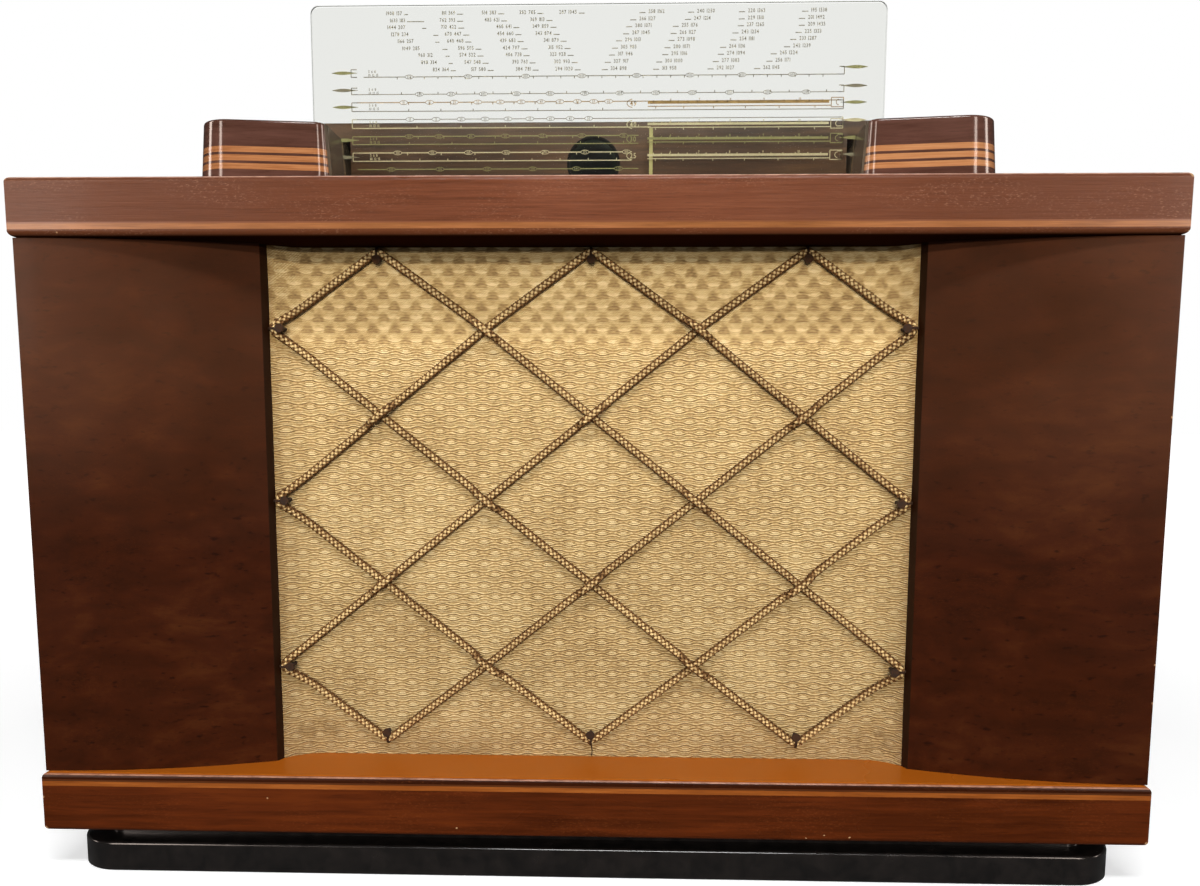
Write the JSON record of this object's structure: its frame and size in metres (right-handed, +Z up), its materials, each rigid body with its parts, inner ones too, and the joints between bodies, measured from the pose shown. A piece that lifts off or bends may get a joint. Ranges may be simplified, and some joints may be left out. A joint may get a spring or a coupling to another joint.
{
  "type": "radio receiver",
  "caption": "Table radio receiver with bow-fronted wooden cabinet, roped cloth grille, sliding glass dial between laminated pods, and side knobs.",
  "frame": {"origin": "middle of the bounding box in X and Y, at the underside of the plinth", "axes": "+Z up, -Y towards the listener (grille side), +X to the right seen from the front"},
  "size_m": [0.673, 0.29, 0.492],
  "materials": {
    "black_lacquer": "black lacquer on wood, gloss",
    "board_veneer": "walnut veneer, shellac polish, worn edges",
    "light_inlay": "light maple stringing under polish",
    "column_veneer": "dark walnut veneer, shellac polish",
    "side_veneer": "walnut veneer, satin polish",
    "plywood": "bare birch plywood",
    "grille_cloth": "woven straw-coloured grille cloth",
    "rope": "two-tone plied cotton rope",
    "black_nail": "black japanned steel nail",
    "hardboard": "brown hardboard",
    "plated_steel": "zinc plated steel, dull",
    "pod_veneer": "dark wood, high gloss polish",
    "pod_band": "light wood layers, high gloss polish",
    "housing_wood": "dark stained wood, satin",
    "eye_glass": "dark tuning eye tube end",
    "lamp_glass": "lamp in a pale holder",
    "grey_paint": "grey stoved paint",
    "cone_paper": "black paper cone",
    "dark_steel": "dark painted steel and laminations",
    "valve_glass": "metallised valve on a dark base",
    "can_aluminium": "plain aluminium",
    "resin_board": "brown resin-bonded paper",
    "bakelite": "dark brown moulded resin, polished",
    "black_rubber": "black rubber",
    "dial_glass": "printed dial glass",
    "brass": "dull brass",
    "pointer_paint": "pale yellow paint on steel",
    "shaft_steel": "turned steel"
  },
  "bodies": {
    "cabinet": {"plinth_board": "black_lacquer", "plinth_spacer": "black_lacquer", "base_board": "board_veneer", "base_inlay": "light_inlay", "top_board": "board_veneer", "top_inlay": "light_inlay", "left_column": "column_veneer", "right_column": "column_veneer", "left_side_panel": "side_veneer", "right_side_panel": "side_veneer", "baffle_board": "plywood", "cove_beads": "plywood", "grille_cloth": "grille_cloth", "rope_lattice": "rope", "rope_nails": "black_nail", "back_panel": "hardboard", "back_panel_screws": "plated_steel", "left_pod": "pod_veneer", "right_pod": "pod_veneer", "left_pod_bands": "pod_band", "right_pod_bands": "pod_band", "dial_housing": "housing_wood", "tuning_eye": "eye_glass", "dial_lamps": "lamp_glass", "pointer_rail": "plated_steel", "speaker_basket": "grey_paint", "speaker_cone": "cone_paper", "speaker_magnet": "dark_steel", "chassis": "plated_steel", "mains_transformer": "dark_steel", "output_transformer": "dark_steel", "mixer_valve": "valve_glass", "amplifier_valve": "valve_glass", "output_valve": "valve_glass", "rectifier_valve": "valve_glass", "coil_cans": "can_aluminium", "electrolytic_can": "can_aluminium", "gang_frame": "plated_steel", "gang_stator": "can_aluminium", "band_switch": "resin_board", "volume_control": "plated_steel", "socket_strip": "bakelite", "mains_grommet": "black_rubber"},
    "glass": {"dial_glass": "dial_glass", "glass_channel": "brass"},
    "pointer": {"pointer": "pointer_paint"},
    "left_pulley": {"left_pulley": "brass"},
    "right_pulley": {"right_pulley": "brass"},
    "gang": {"gang_rotor": "can_aluminium", "tuning_drum": "can_aluminium"},
    "tuning": {"tuning_knob": "bakelite", "tuning_shaft": "shaft_steel"},
    "band": {"band_knob": "bakelite", "band_sleeve": "brass"},
    "volume": {"volume_knob": "bakelite", "volume_shaft": "shaft_steel"},
    "tone": {"tone_knob": "bakelite", "tone_sleeve": "brass"}
  },
  "joints": [
    {"name": "glass_slide", "type": "slide", "parent": "cabinet", "child": "glass", "axis": [0, 0, 1], "range_m": [-0.073, 0]},
    {"name": "gang_turn", "type": "hinge", "parent": "cabinet", "child": "gang", "pos_m": [0.195, -0.06, 0.157], "axis": [0, 1, 0], "range_deg": [-110.8, 69.2]},
    {"name": "pointer_slide", "type": "slide", "parent": "cabinet", "child": "pointer", "axis": [1, 0, 0], "range_m": [-0.1663, 0.1039]},
    {"name": "left_pulley_turn", "type": "hinge", "parent": "cabinet", "child": "left_pulley", "pos_m": [-0.164, -0.072, 0.342], "axis": [0, 1, 0], "range_deg": [-1400.4, 874.7]},
    {"name": "right_pulley_turn", "type": "hinge", "parent": "cabinet", "child": "right_pulley", "pos_m": [0.168, -0.072, 0.342], "axis": [0, 1, 0], "range_deg": [-1400.4, 874.7]},
    {"name": "tuning_turn", "type": "hinge", "parent": "cabinet", "child": "tuning", "pos_m": [0, 0.04, 0.092], "axis": [1, 0, 0], "range_deg": [-1587.1, 991.3]},
    {"name": "band_turn", "type": "hinge", "parent": "cabinet", "child": "band", "pos_m": [0, 0.04, 0.092], "axis": [1, 0, 0], "range_deg": [-60, 30]},
    {"name": "volume_turn", "type": "hinge", "parent": "cabinet", "child": "volume", "pos_m": [0, 0.04, 0.092], "axis": [-1, 0, 0], "range_deg": [-135, 135]},
    {"name": "tone_turn", "type": "hinge", "parent": "cabinet", "child": "tone", "pos_m": [0, 0.04, 0.092], "axis": [-1, 0, 0], "range_deg": [-135, 135]}
  ],
  "couplings": [
    {"joint": "pointer_slide", "follows": "gang_turn", "m_per_rad": 0.085944},
    {"joint": "left_pulley_turn", "follows": "gang_turn", "ratio": 12.639},
    {"joint": "right_pulley_turn", "follows": "gang_turn", "ratio": 12.639},
    {"joint": "tuning_turn", "follows": "gang_turn", "ratio": 14.324}
  ]
}
